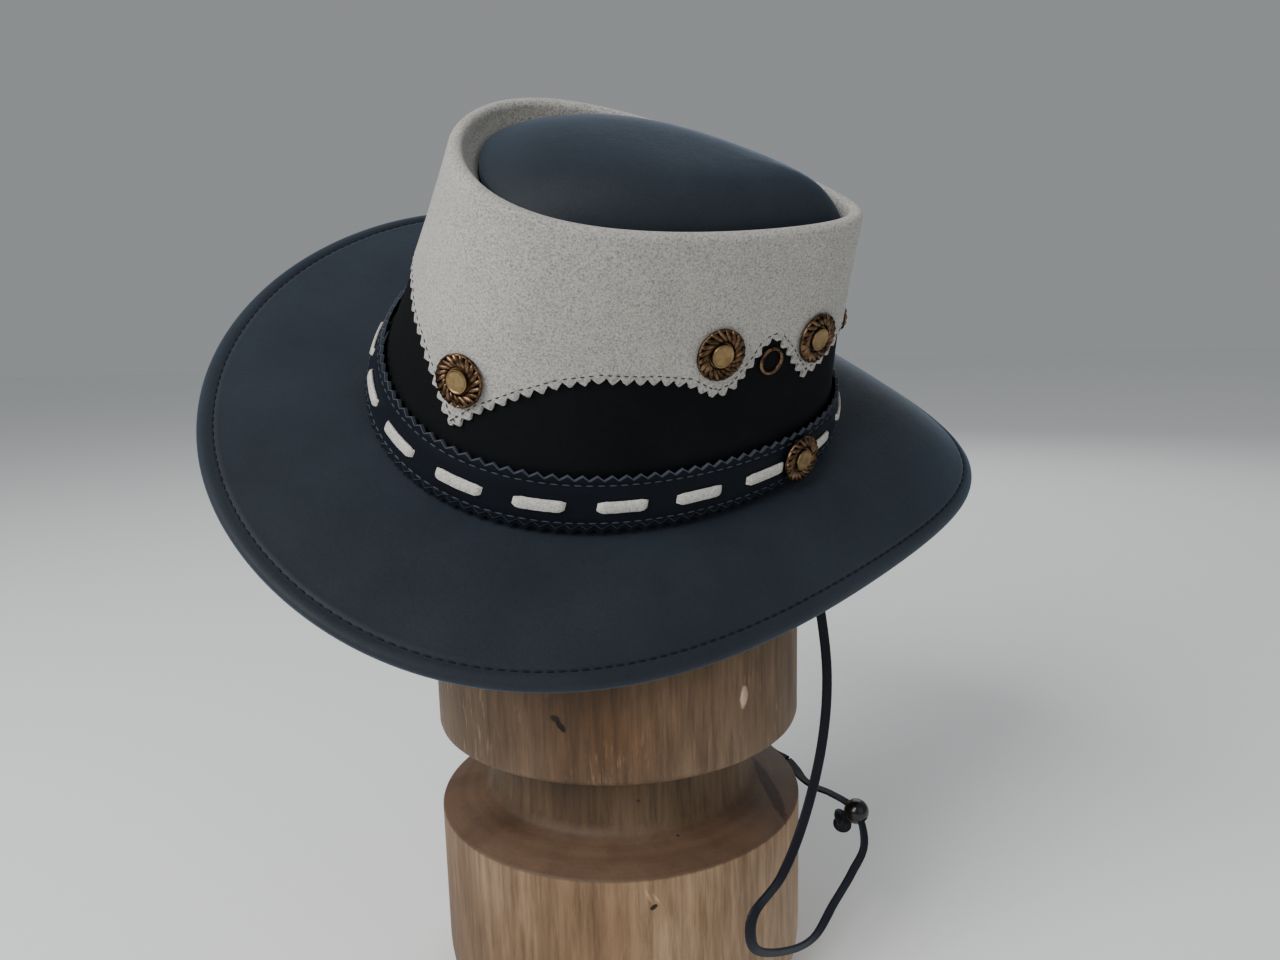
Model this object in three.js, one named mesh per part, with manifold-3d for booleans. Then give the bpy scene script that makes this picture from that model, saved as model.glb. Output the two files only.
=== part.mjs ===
// Leather cowboy hat with a suede overlay, on a turned wooden stand. Millimetres, +Z up.
// The origin is the centre of the stand's flat base, and +X is the way the hat's front points.
import * as THREE from 'three';
import { mergeVertices } from 'three/addons/utils/BufferGeometryUtils.js';
import Module from 'manifold-3d';

const wasm = await Module();
wasm.setup();

// Fit between pieces
const seamGap = 0.3;

// Turned stand
const standRadius = 84;
const upperDrumRadius = 83;
const standHeightToEdge = 87;
const baseRounding = 10;
const baseRoundingHeight = 22;
const neckRadius = 61.3;
const neckFillet = 5;
const coneRise = 6;
const grooveHeight = 39;
const drumEdgeRounding = 2.5;
const shoulderBevel = 3;
const postRadius = 24;
const standSides = 28;
const sampleTurns = 360;
const sampleRows = 60;

// Hat's place on the stand and its lean
const hatRight = -2;
const hatBack = 12;
const hatLift = 272;
const leanToSide = THREE.MathUtils.degToRad(36.4);
const dipToFront = THREE.MathUtils.degToRad(9.3);

// Crown: half lengths and half widths, how much narrower the front is, and its leather
const baseHalfLength = 105;
const baseHalfWidth = 84.5;
const baseEgg = 0.21;
const topHalfLength = 79.1;
const topHalfWidth = 43;
const topEgg = 0.503;
const topBluntness = 0.025;
const topForward = 8;
const crownHeight = 109.1;
const topSlope = -0.055;
const wallHollow = 1.8;
const leather = 2;
const crownSides = 56;
const crownRows = [0, 0.35, 0.7, 1];

// Suede overlay with its rolled rim
const suede = 1.2;
const rimRadius = 3;
const rimDrop = 7;
const rimLeanIn = 0.8;
const rimLeanBack = 4.5;
const overlayTeeth = 50;
const overlayToothDepth = 2.5;

// Domed plate set in the top
const plateLeather = 2.4;
const seamDrop = 3.3;
const domeHeight = 17;
const domeFullness = 3.6;
const domeForward = 29;
const plateRings = 3;

// Brim: half sizes of its plan, and how far its edge drops all round
const brimHalfLength = 176;
const brimHalfWidth = 144;
const brimForward = 5;
const brimEgg = 0.36;
const brimSquareness = 0.022;
const brimLeather = 3;
const brimRollThickness = 4.6;
const brimRollWidth = 6.5;
const brimDroopCurve = 2.7;
const brimEdgeDrop = { around: -11.5, front: -12, corners: 2 };
const brimSides = 56;

// Hatband with a suede lace woven through it
const bandHeight = 24;
const bandLeather = 1.6;
const bandSides = 64;
const bandLift = 0.6;
const laceWidth = 6;
const laceThickness = 0.9;
const laceStitches = 18;
const laceOutsideShare = 0.52;
const laceSlopeShare = 0.135;
const laceStart = 88;
const slotLength = 5.4;

// Round brass trim
const conchoRadius = 10.5;
const conchoHeight = 2.6;
const conchoDish = 1.2;
const capRadius = 4.7;
const capHeight = 1.8;
const eyeletRadius = 5.9;
const eyeletBore = 4.1;
const eyeletBarrel = 4.8;
const trimSides = 10;

// Chin cord
const cordDiameter = 4.6;
const cordSides = 8;
const cordSteps = 56;
const beadRadius = 5.2;
const knotRadius = 4.6;

// Lower edge of the overlay, alike on both sides of its middle, which is turned a little from the
// crown's front: degrees from that middle to the back, height as a share of the crown
const overlayTurn = -16;
const overlayEdge = [
  { angle: 0, height: 0.355 },
  { angle: 7.3, height: 0.43 },
  { angle: 12.9, height: 0.495 },
  { angle: 18.4, height: 0.54 },
  { angle: 23.9, height: 0.55 },
  { angle: 30.7, height: 0.525 },
  { angle: 36.1, height: 0.505 },
  { angle: 40.8, height: 0.48 },
  { angle: 45.9, height: 0.46 },
  { angle: 51.4, height: 0.448 },
  { angle: 55.1, height: 0.505 },
  { angle: 58.8, height: 0.57 },
  { angle: 63.4, height: 0.635 },
  { angle: 67, height: 0.625 },
  { angle: 69.3, height: 0.572 },
  { angle: 72, height: 0.525 },
  { angle: 74.1, height: 0.485 },
  { angle: 77.5, height: 0.465 },
  { angle: 80.4, height: 0.475 },
  { angle: 85.4, height: 0.52 },
  { angle: 92.8, height: 0.54 },
  { angle: 105.6, height: 0.548 },
  { angle: 113.9, height: 0.522 },
  { angle: 122.1, height: 0.461 },
  { angle: 126.3, height: 0.416 },
  { angle: 130.4, height: 0.37 },
  { angle: 135.7, height: 0.275 },
  { angle: 139, height: 0.306 },
  { angle: 141.6, height: 0.342 },
  { angle: 147.5, height: 0.407 },
  { angle: 154.3, height: 0.462 },
  { angle: 163, height: 0.5 },
  { angle: 168, height: 0.53 },
  { angle: 180, height: 0.545 },
];

// Route of the chin cord: from under the crown's right side, down past the stand's front, up
// through the bead, close round the lower drum and up behind the stand to the crown's left side
const cordRoute = [
  [84, -18, 226],
  [89, -20, 190],
  [93, -26, 150],
  [89, -38, 123],
  [78, -56, 96],
  [66, -73, 81],
  [52, -90, 74],
  [52.5, -89.5, 61.5],
  [66, -76, 49.2],
  [82, -59, 43.3],
  [93, -46, 50],
  [104, -33, 57],
  [111.4, -24, 65],
  [109.6, -15, 76.6],
  [99.1, -6, 81.2],
  [92.9, -1, 81.8],
  [88.2, 5, 83],
  [86.3, 14.5, 83.3],
  [83.6, 26, 83],
  [78.5, 39, 81.5],
  [72.5, 50, 85],
  [70, 57, 97],
  [68, 61, 114],
  [69, 62, 150],
  [73, 61, 200],
  [80, 60, 250],
  [83, 60, 283],
];
const beadStop = 13;
const knotBesideBead = [-5, 5.2, -7.2];

// Conchos and vent eyelets on the overlay's middle and, by pairs, on both sides of it
const overlayConchos = [
  { name: 'front', angle: 0, height: 0.49 },
  { name: 'front_right', angle: 48.3, height: 0.592 },
  { name: 'side_right', angle: 79.6, height: 0.618 },
  { name: 'back_right', angle: 137.3, height: 0.44 },
  { name: 'front_left', angle: -48.3, height: 0.592 },
  { name: 'side_left', angle: -79.6, height: 0.618 },
  { name: 'back_left', angle: -137.3, height: 0.44 },
];
const bandConchoAngle = 40;
const eyelets = [
  { name: 'right', angle: 65.2, height: 0.568 },
  { name: 'left', angle: -65.2, height: 0.545 },
];

// Colours and finishes
function finish(color, roughness, metalness) {
  return new THREE.MeshStandardMaterial({ color, roughness, metalness });
}
const blackLeather = finish(0x20252b, 0.62, 0);
const wallLeather = finish(0x0e1012, 0.7, 0);
const paleSuede = finish(0xbdb8ae, 0.95, 0);
const agedBrass = finish(0x7a5a30, 0.45, 1);
const brightBrass = finish(0xa9823f, 0.35, 1);
const turnedWood = finish(0x8a7358, 0.7, 0);
const blackLace = finish(0x15161c, 0.75, 0);
const blackBead = finish(0x0b0b0d, 0.3, 0);

const hat = new THREE.Group();
const model = new THREE.Group();

function addMesh(group, name, geometry, material) {
  const mesh = new THREE.Mesh(geometry, material.clone());
  mesh.name = name;
  group.add(mesh);
  return mesh;
}

// Closed bodies and boolean cuts
function toManifold(geometry) {
  const bare = geometry.clone();
  bare.deleteAttribute('normal');
  bare.deleteAttribute('uv');
  const merged = mergeVertices(bare, 1e-4);
  const vertProperties = new Float32Array(merged.attributes.position.array);
  const triVerts = new Uint32Array(merged.index.array);
  return new wasm.Manifold(new wasm.Mesh({ numProp: 3, vertProperties, triVerts }));
}

function fromManifold(solid) {
  const mesh = solid.getMesh();
  const geometry = new THREE.BufferGeometry();
  geometry.setAttribute('position', new THREE.BufferAttribute(mesh.vertProperties, 3));
  geometry.setIndex(new THREE.BufferAttribute(mesh.triVerts, 1));
  return geometry;
}

function cutAll(geometry, cutters) {
  const cutOne = (solid, cutter) => solid.subtract(toManifold(cutter));
  return fromManifold(cutters.reduce(cutOne, toManifold(geometry)));
}

// A ring whose section, a closed list of points, changes with the angle around it
function loftRing(count, sectionAt) {
  const positions = [];
  const indices = [];
  let perSection = 0;
  for (let i = 0; i < count; i += 1) {
    const section = sectionAt(i);
    perSection = section.length;
    section.forEach((point) => positions.push(point.x, point.y, point.z));
  }
  for (let i = 0; i < count; i += 1) {
    const here = i * perSection;
    const next = ((i + 1) % count) * perSection;
    for (let j = 0; j < perSection; j += 1) {
      const k = (j + 1) % perSection;
      indices.push(here + j, next + k, next + j, here + j, here + k, next + k);
    }
  }
  const geometry = new THREE.BufferGeometry();
  geometry.setAttribute('position', new THREE.Float32BufferAttribute(positions, 3));
  geometry.setIndex(indices);
  return facedOut(geometry);
}

function signedVolume(geometry) {
  const place = geometry.attributes.position;
  const index = geometry.index.array;
  const corner = [new THREE.Vector3(), new THREE.Vector3(), new THREE.Vector3()];
  let sum = 0;
  for (let i = 0; i < index.length; i += 3) {
    corner.forEach((point, j) => point.fromBufferAttribute(place, index[i + j]));
    sum += corner[0].dot(corner[1].clone().cross(corner[2]));
  }
  return sum;
}

function facedOut(geometry) {
  if (signedVolume(geometry) < 0) {
    geometry.setIndex(Array.from(geometry.index.array).reverse());
  }
  return geometry;
}

// Crown outline. Angle 0 is the front, and positive angles go to the wearer's right, which is -Y.
function eggRing(angle, centre, halfLength, halfWidth, egg, bluntness) {
  const blunt = (bluntness * (1 + Math.cos(angle))) / 2;
  const x = centre + halfLength * ((1 + blunt) * Math.cos(angle) - blunt * Math.cos(3 * angle));
  const y = -halfWidth * Math.sin(angle) * (1 - egg * Math.cos(angle));
  return new THREE.Vector3(x, y, 0);
}

function crownRow(angle, share) {
  const mix = THREE.MathUtils.lerp;
  const hollow = 4 * share * (1 - share) * wallHollow;
  const halfLength = mix(baseHalfLength, topHalfLength, share) - hollow;
  const halfWidth = mix(baseHalfWidth, topHalfWidth, share) - hollow;
  const egg = mix(baseEgg, topEgg, share);
  const point = eggRing(angle, topForward * share, halfLength, halfWidth, egg, topBluntness * share);
  return point.setZ(share * (crownHeight + topSlope * point.x));
}

// The wall runs straight from row to row, so that pieces lying on it keep an even gap
function crownPoint(angle, share) {
  const after = Math.max(1, crownRows.findIndex((row) => row >= share));
  const low = crownRows[after - 1];
  const blend = (share - low) / (crownRows[after] - low);
  return crownRow(angle, low).lerp(crownRow(angle, crownRows[after]), blend);
}

function crownNormal(angle, share) {
  const step = 0.01;
  const around = crownPoint(angle + step, share).sub(crownPoint(angle - step, share));
  const above = crownPoint(angle, Math.min(share + step, 1));
  const upward = above.sub(crownPoint(angle, Math.max(share - step, 0)));
  return upward.cross(around).normalize();
}

function offCrown(angle, share, offset) {
  return crownPoint(angle, share).addScaledVector(crownNormal(angle, share), offset);
}

// Rim rings lie inwards of the crown's top ring, level with it or by a rise above it
function rimPoint(angle, inward, rise) {
  const point = crownRow(angle, 1);
  const step = 0.01;
  const along = crownRow(angle + step, 1).sub(crownRow(angle - step, 1));
  const outward = new THREE.Vector3(-along.y, along.x, 0).normalize();
  return point.addScaledVector(outward, -inward).add(new THREE.Vector3(0, 0, rise));
}

// Angle on the crown of a place on the overlay: the overlay's turn fades out towards the back
function overlayAngle(degrees) {
  return overlayTurn + (degrees * (180 - Math.sign(degrees) * overlayTurn)) / 180;
}

// The rolled rim slopes inwards down to the plate's seam, and more so at the back
function rimLean(angle) {
  return rimLeanIn + rimLeanBack * ((1 - Math.cos(angle)) / 2) ** 3;
}

function edgeHeight(angle) {
  const wrapped = THREE.MathUtils.radToDeg(Math.atan2(Math.sin(angle), Math.cos(angle)));
  const side = wrapped < overlayTurn ? -1 : 1;
  const degrees = (side * (wrapped - overlayTurn) * 180) / (180 - side * overlayTurn);
  const after = Math.max(1, overlayEdge.findIndex((row) => row.angle >= degrees - 1e-6));
  const low = overlayEdge[after - 1];
  const high = overlayEdge[after];
  const blend = (degrees - low.angle) / (high.angle - low.angle);
  return THREE.MathUtils.lerp(low.height, high.height, blend);
}

function angleOf(index, count) {
  return (2 * Math.PI * index) / count;
}

// Brim
function brimEdgePoint(angle) {
  const square = 1 + brimSquareness * Math.cos(4 * angle);
  const point = eggRing(angle, 0, brimHalfLength * square, brimHalfWidth * square, brimEgg, 0);
  point.x += brimForward;
  const { around, front, corners } = brimEdgeDrop;
  point.z = around + front * Math.cos(angle) + corners * Math.cos(3 * angle);
  return point;
}

function brimPoint(angle, share) {
  const inner = crownPoint(angle, 0);
  const outer = brimEdgePoint(angle);
  const point = inner.clone().lerp(outer, share);
  point.z = outer.z * Math.max(share, 0) ** brimDroopCurve;
  return point;
}

function brimSection(index) {
  const angle = angleOf(index, brimSides);
  const width = brimEdgePoint(angle).distanceTo(crownPoint(angle, 0));
  const innerShare = -leather / width;
  const rollShare = 1 - brimRollWidth / width;
  const top = [innerShare, 0.3, 0.6, rollShare - 0.04].map((share) => brimPoint(angle, share));
  const bottom = [rollShare - 0.04, 0.6, 0.3, innerShare].map((share) => brimPoint(angle, share));
  bottom.forEach((point) => point.setZ(point.z - brimLeather));
  const extra = (brimRollThickness - brimLeather) / 2;
  const rollTop = brimPoint(angle, rollShare).add(new THREE.Vector3(0, 0, extra));
  const crest = brimPoint(angle, 1 - 0.3 * (1 - rollShare)).add(new THREE.Vector3(0, 0, extra * 0.6));
  const edge = brimPoint(angle, 1).add(new THREE.Vector3(0, 0, -brimLeather / 2));
  const heel = crest.clone().add(new THREE.Vector3(0, 0, -brimRollThickness + extra * 0.4));
  const rollBottom = rollTop.clone().add(new THREE.Vector3(0, 0, -brimRollThickness));
  return [...top, rollTop, crest, edge, heel, rollBottom, ...bottom];
}
const brimGeometry = loftRing(brimSides, brimSection);
addMesh(hat, 'brim', brimGeometry, blackLeather);

// Crown wall, open at both ends, with a bore for each eyelet
function crownSideSection(index) {
  const angle = angleOf(index, crownSides);
  const lowest = seamGap / crownHeight;
  const rows = [lowest, ...crownRows.slice(1)];
  const outer = rows.map((share) => crownPoint(angle, share));
  const inner = rows.map((share) => offCrown(angle, share, -leather));
  inner[0].z = outer[0].z;
  return [...outer, ...inner.reverse()];
}

function standOnCrown(angleDegrees, share, offset) {
  const angle = THREE.MathUtils.degToRad(angleDegrees);
  const normal = crownNormal(angle, share);
  const place = crownPoint(angle, share).addScaledVector(normal, offset);
  const turn = new THREE.Quaternion().setFromUnitVectors(new THREE.Vector3(0, 0, 1), normal);
  return { place, turn, normal };
}

function eyeletBoreCutter({ angle, height }) {
  const radius = eyeletBarrel + seamGap;
  const bore = new THREE.CylinderGeometry(radius, radius, 8 * leather, trimSides);
  bore.rotateX(Math.PI / 2);
  const seat = standOnCrown(overlayAngle(angle), height, 0);
  bore.applyQuaternion(seat.turn);
  return bore.translate(seat.place.x, seat.place.y, seat.place.z);
}
const crownSideGeometry = cutAll(loftRing(crownSides, crownSideSection), eyelets.map(eyeletBoreCutter));
addMesh(hat, 'crown_side', crownSideGeometry, wallLeather);

// Suede overlay: up the wall from its pinked edge, over the rim and down to the plate
function overlaySection(index) {
  const count = 2 * overlayTeeth;
  const angle = angleOf(index, count);
  const toothShare = index % 2 === 0 ? 0 : overlayToothDepth / crownHeight;
  const lowest = edgeHeight(angle) + toothShare;
  const outerFace = seamGap + suede;
  const roll = (radius, degrees) => {
    const turn = THREE.MathUtils.degToRad(degrees);
    const inward = rimRadius - outerFace - radius * Math.cos(turn);
    return rimPoint(angle, inward, radius * Math.sin(turn));
  };
  const deepest = 2 * rimRadius - outerFace + rimLean(angle);
  const deepOuter = rimPoint(angle, deepest, -rimDrop);
  const deepInner = rimPoint(angle, deepest - suede, -rimDrop);
  const innerRadius = rimRadius - suede;
  return [
    offCrown(angle, lowest, outerFace),
    offCrown(angle, crownRows[2], outerFace),
    roll(rimRadius, 0),
    roll(rimRadius, 60),
    roll(rimRadius, 120),
    roll(rimRadius, 180),
    deepOuter,
    deepInner,
    roll(innerRadius, 160),
    roll(innerRadius, 90),
    roll(innerRadius, 20),
    offCrown(angle, crownRows[2], seamGap),
    offCrown(angle, lowest, seamGap),
  ];
}
addMesh(hat, 'overlay', loftRing(2 * overlayTeeth, overlaySection), paleSuede);

// Domed plate, hung inside the rolled rim
function plateGeometry() {
  const rimAt = (_, i) => {
    const angle = angleOf(i, crownSides);
    return rimPoint(angle, 2 * rimRadius - suede + rimLean(angle), -seamDrop);
  };
  const rim = Array.from({ length: crownSides }, rimAt);
  const centre = new THREE.Vector3();
  rim.forEach((point) => centre.addScaledVector(point, 1 / crownSides));
  centre.x += domeForward;
  const place = (point, share, drop) => {
    const inset = centre.clone().lerp(point, share);
    inset.z += domeHeight * (1 - share ** domeFullness) - drop;
    return inset;
  };
  const positions = [];
  const indices = [];
  const push = (point) => positions.push(point.x, point.y, point.z) / 3 - 1;
  const layer = (drop) => {
    const rings = [];
    for (let ring = plateRings; ring > 0; ring -= 1) {
      rings.push(rim.map((point) => push(place(point, ring / plateRings, drop))));
    }
    return { rings, middle: push(place(centre, 0, drop)) };
  };
  const top = layer(0);
  const under = layer(plateLeather);
  const strip = (first, second) => first.forEach((corner, i) => {
    const j = (i + 1) % crownSides;
    indices.push(corner, second[i], first[j], first[j], second[i], second[j]);
  });
  for (let ring = 1; ring < plateRings; ring += 1) {
    strip(top.rings[ring - 1], top.rings[ring]);
    strip(under.rings[ring], under.rings[ring - 1]);
  }
  strip(under.rings[0], top.rings[0]);
  const topLast = top.rings[plateRings - 1];
  const underLast = under.rings[plateRings - 1];
  topLast.forEach((corner, i) => indices.push(corner, top.middle, topLast[(i + 1) % crownSides]));
  underLast.forEach((corner, i) => indices.push(corner, underLast[(i + 1) % crownSides], under.middle));
  const geometry = new THREE.BufferGeometry();
  geometry.setAttribute('position', new THREE.Float32BufferAttribute(positions, 3));
  geometry.setIndex(indices);
  return facedOut(geometry);
}
addMesh(hat, 'crown_top', plateGeometry(), blackLeather);

// Hatband: stands off the wall by one run of the lace, with a slot for each pass
const bandInside = 3 * seamGap + laceThickness;
const bandOutside = bandInside + bandLeather;

function bandSection(index) {
  const angle = angleOf(index, bandSides);
  const low = bandLift / crownHeight;
  const high = bandHeight / crownHeight;
  return [
    offCrown(angle, low, bandInside),
    offCrown(angle, low, bandOutside),
    offCrown(angle, high, bandOutside),
    offCrown(angle, high, bandInside),
  ];
}

// Lace: equal steps of length round the band's middle line
const laceShare = bandHeight / 2 / crownHeight;
const girthSteps = 720;
const girth = [0];
for (let i = 1; i <= girthSteps; i += 1) {
  const here = offCrown(angleOf(i, girthSteps), laceShare, bandOutside);
  girth.push(girth[i - 1] + here.distanceTo(offCrown(angleOf(i - 1, girthSteps), laceShare, bandOutside)));
}

function angleAtGirth(share) {
  const wanted = (((share % 1) + 1) % 1) * girth[girthSteps];
  const after = Math.max(1, girth.findIndex((value) => value >= wanted));
  const blend = (wanted - girth[after - 1]) / (girth[after] - girth[after - 1]);
  return angleOf(after - 1 + blend, girthSteps);
}
const startIndex = Math.round((laceStart / 360) * girthSteps);
const startShare = girth[startIndex] / girth[girthSteps];
const stitchLength = girth[girthSteps] / laceStitches;

const outsideHalf = laceOutsideShare / 2;
const lacePath = [
  { share: -outsideHalf, outside: true },
  { share: 0, outside: true },
  { share: outsideHalf, outside: true },
  { share: outsideHalf + laceSlopeShare, outside: false },
  { share: 1 - outsideHalf - laceSlopeShare, outside: false },
];

function laceSection(index) {
  const stitch = Math.floor(index / lacePath.length);
  const step = lacePath[index % lacePath.length];
  const angle = angleAtGirth(startShare + (stitch + step.share) / laceStitches);
  const low = laceShare - laceWidth / 2 / crownHeight;
  const high = laceShare + laceWidth / 2 / crownHeight;
  const inner = step.outside ? bandOutside + seamGap : seamGap;
  const outer = inner + laceThickness;
  return [
    offCrown(angle, low, inner),
    offCrown(angle, low, outer),
    offCrown(angle, high, outer),
    offCrown(angle, high, inner),
  ];
}

function slotCutter(stitch, side) {
  const share = stitch + side * (outsideHalf + laceSlopeShare / 2);
  const angle = THREE.MathUtils.radToDeg(angleAtGirth(startShare + share / laceStitches));
  const seat = standOnCrown(angle, laceShare, (bandInside + bandOutside) / 2);
  const upward = new THREE.Vector3(0, 0, 1).projectOnPlane(seat.normal).normalize();
  const along = upward.clone().cross(seat.normal);
  const frame = new THREE.Matrix4().makeBasis(along, upward, seat.normal).setPosition(seat.place);
  return new THREE.BoxGeometry(slotLength, laceWidth + 3 * seamGap, 3 * bandLeather).applyMatrix4(frame);
}
const slots = [];
for (let stitch = 0; stitch < laceStitches; stitch += 1) {
  slots.push(slotCutter(stitch, -1), slotCutter(stitch, 1));
}
addMesh(hat, 'hatband', cutAll(loftRing(bandSides, bandSection), slots), blackLeather);
addMesh(hat, 'band_lace', loftRing(laceStitches * lacePath.length, laceSection), paleSuede);

// Brass conchos, each with a rivet cap, and the vent eyelets
function lathe(profile, sides) {
  const points = profile.map(([radius, height]) => new THREE.Vector2(radius, height));
  const geometry = new THREE.LatheGeometry(points, sides).rotateX(Math.PI / 2);
  return fromManifold(toManifold(facedOut(mergeVertices(bareCopy(geometry), 1e-4))));
}

function bareCopy(geometry) {
  const bare = geometry.clone();
  bare.deleteAttribute('normal');
  bare.deleteAttribute('uv');
  return bare;
}

const conchoProfile = [
  [0, 0],
  [0.95 * conchoRadius, 0],
  [conchoRadius, 0.5 * conchoHeight],
  [0.88 * conchoRadius, conchoHeight],
  [0.7 * conchoRadius, conchoDish],
  [0, conchoDish],
];
const capProfile = [
  [0, 0],
  [capRadius, 0],
  [capRadius, 0.45 * capHeight],
  [0.7 * capRadius, 0.9 * capHeight],
  [0, capHeight],
];
const eyeletProfile = [
  [eyeletBore, -leather - 2 * seamGap],
  [eyeletBarrel, -leather - 2 * seamGap],
  [eyeletBarrel, seamGap],
  [eyeletRadius, seamGap],
  [0.9 * eyeletRadius, 1.1 + seamGap],
  [eyeletBore, 0.9 + seamGap],
  [eyeletBore, -leather - 2 * seamGap],
];

function addTrim(name, geometry, material, angle, share, offset) {
  const mesh = addMesh(hat, name, geometry, material);
  const seat = standOnCrown(angle, share, offset);
  mesh.position.copy(seat.place);
  mesh.quaternion.copy(seat.turn);
}

function addConcho(name, angle, share, offset) {
  addTrim(`concho_${name}`, lathe(conchoProfile, trimSides), agedBrass, angle, share, offset);
  const capOffset = offset + conchoDish + seamGap;
  addTrim(`cap_${name}`, lathe(capProfile, trimSides), brightBrass, angle, share, capOffset);
}
overlayConchos.forEach(({ name, angle, height }) => {
  addConcho(name, overlayAngle(angle), height, 2 * seamGap + suede);
});
addConcho('band', bandConchoAngle, laceShare, bandOutside + laceThickness + 2 * seamGap);
eyelets.forEach(({ name, angle, height }) => {
  addTrim(`eyelet_${name}`, lathe(eyeletProfile, trimSides), agedBrass, overlayAngle(angle), height, 0);
});

// Chin cord with its bead and knot
const cordPoints = cordRoute.map((point) => new THREE.Vector3(...point));
const cordCurve = new THREE.CatmullRomCurve3(cordPoints, false, 'centripetal');
const cordLength = cordCurve.getLength();

function cordGeometry() {
  const outline = Array.from({ length: cordSides }, (_, i) => {
    const turn = angleOf(i, cordSides);
    return new THREE.Vector2(Math.cos(turn), Math.sin(turn)).multiplyScalar(cordDiameter / 2);
  });
  const options = { steps: cordSteps, bevelEnabled: false, extrudePath: cordCurve };
  return fromManifold(toManifold(new THREE.ExtrudeGeometry(new THREE.Shape(outline), options)));
}

// A barrel with a bore that the cord passes through
function barrelProfile(radius, bore) {
  return [
    [bore, -0.6 * radius],
    [0.8 * radius, -0.6 * radius],
    [radius, -0.2 * radius],
    [radius, 0.2 * radius],
    [0.8 * radius, 0.6 * radius],
    [bore, 0.6 * radius],
    [bore, -0.6 * radius],
  ];
}

addMesh(model, 'chin_cord', cordGeometry(), blackLace);
const beadShare = beadStop / (cordRoute.length - 1);
const beadProfile = barrelProfile(beadRadius, cordDiameter / 2 + 4 * seamGap);
const bead = addMesh(model, 'cord_bead', lathe(beadProfile, trimSides), blackBead);
bead.position.copy(cordCurve.getPoint(beadShare));
bead.quaternion.setFromUnitVectors(new THREE.Vector3(0, 0, 1), cordCurve.getTangent(beadShare));
const knotProfile = barrelProfile(knotRadius, 0).slice(0, -1);
const knot = addMesh(model, 'cord_knot', lathe(knotProfile, trimSides), blackLace);
knot.position.copy(bead.position).add(new THREE.Vector3(...knotBesideBead));
knot.quaternion.copy(bead.quaternion);

// Stand: the drum's top meets the brim's underside, and the post's dome meets the crown's inside
hat.position.set(hatRight, hatBack, hatLift);
hat.rotation.set(leanToSide, dipToFront, 0);
hat.updateMatrixWorld(true);

function hatSamples(pointAt) {
  const samples = [];
  for (let i = 0; i < sampleTurns; i += 1) {
    for (let j = 0; j <= sampleRows; j += 1) {
      samples.push(pointAt(angleOf(i, sampleTurns), j / sampleRows).applyMatrix4(hat.matrixWorld));
    }
  }
  return samples;
}

function lowestOver(points, radius) {
  const over = points.filter((point) => Math.hypot(point.x, point.y) < radius);
  return Math.min(...over.map((point) => point.z));
}

function domeCentreUnder(points, radius) {
  const reach = radius + seamGap;
  const near = points.filter((point) => Math.hypot(point.x, point.y) < reach);
  const limits = near.map((point) => point.z - Math.sqrt(reach ** 2 - point.x ** 2 - point.y ** 2));
  return Math.min(...limits);
}
const brimUnderside = hatSamples((angle, share) => {
  const point = brimPoint(angle, share);
  return point.setZ(point.z - brimRollThickness);
});
const crownInside = hatSamples((angle, share) => offCrown(angle, share, -leather));
const drumTop = lowestOver(brimUnderside, upperDrumRadius + seamGap) - seamGap;
const postTop = domeCentreUnder(crownInside, postRadius);

const coneTop = standHeightToEdge + coneRise;
const grooveTop = standHeightToEdge + grooveHeight;
const standProfile = [
  [0, 0],
  [standRadius - baseRounding, 0],
  [standRadius - 0.35 * baseRounding, 0.4 * baseRoundingHeight],
  [standRadius, baseRoundingHeight],
  [standRadius, standHeightToEdge],
  [neckRadius + neckFillet, coneTop],
  [neckRadius + 0.3 * neckFillet, coneTop + 0.3 * neckFillet],
  [neckRadius, coneTop + neckFillet],
  [neckRadius, grooveTop],
  [upperDrumRadius - drumEdgeRounding, grooveTop],
  [upperDrumRadius - 0.3 * drumEdgeRounding, grooveTop + 0.3 * drumEdgeRounding],
  [upperDrumRadius, grooveTop + drumEdgeRounding],
  [upperDrumRadius, drumTop - shoulderBevel],
  [upperDrumRadius - shoulderBevel, drumTop],
  [postRadius, drumTop],
  [postRadius, postTop],
  [0.87 * postRadius, postTop + 0.5 * postRadius],
  [0.5 * postRadius, postTop + 0.87 * postRadius],
  [0, postTop + postRadius],
];
addMesh(model, 'stand', lathe(standProfile, standSides), turnedWood);
model.add(hat);
model.userData = { drumTop, postTop, cordLength };
export default model;
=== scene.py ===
# Leather cowboy hat with a suede overlay, laced band, conchos and chin lace, on a turned wooden stand
import math

import bmesh
import bpy
from mathutils import Matrix, Vector, noise


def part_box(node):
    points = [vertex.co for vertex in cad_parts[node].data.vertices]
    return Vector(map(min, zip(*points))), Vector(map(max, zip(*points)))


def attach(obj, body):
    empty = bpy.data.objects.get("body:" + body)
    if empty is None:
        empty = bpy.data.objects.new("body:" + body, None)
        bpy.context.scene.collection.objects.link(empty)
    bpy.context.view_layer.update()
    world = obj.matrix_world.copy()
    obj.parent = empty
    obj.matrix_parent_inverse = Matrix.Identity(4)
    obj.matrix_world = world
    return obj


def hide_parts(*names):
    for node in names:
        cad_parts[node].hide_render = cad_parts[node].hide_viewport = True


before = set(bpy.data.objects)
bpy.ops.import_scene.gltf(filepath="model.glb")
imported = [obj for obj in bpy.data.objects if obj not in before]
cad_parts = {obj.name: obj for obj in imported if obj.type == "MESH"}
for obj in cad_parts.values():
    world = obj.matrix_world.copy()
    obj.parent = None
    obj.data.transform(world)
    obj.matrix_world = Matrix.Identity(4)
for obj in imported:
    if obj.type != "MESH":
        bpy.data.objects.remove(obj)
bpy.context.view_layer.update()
mm = 0.001
print("frame loaded")


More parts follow.
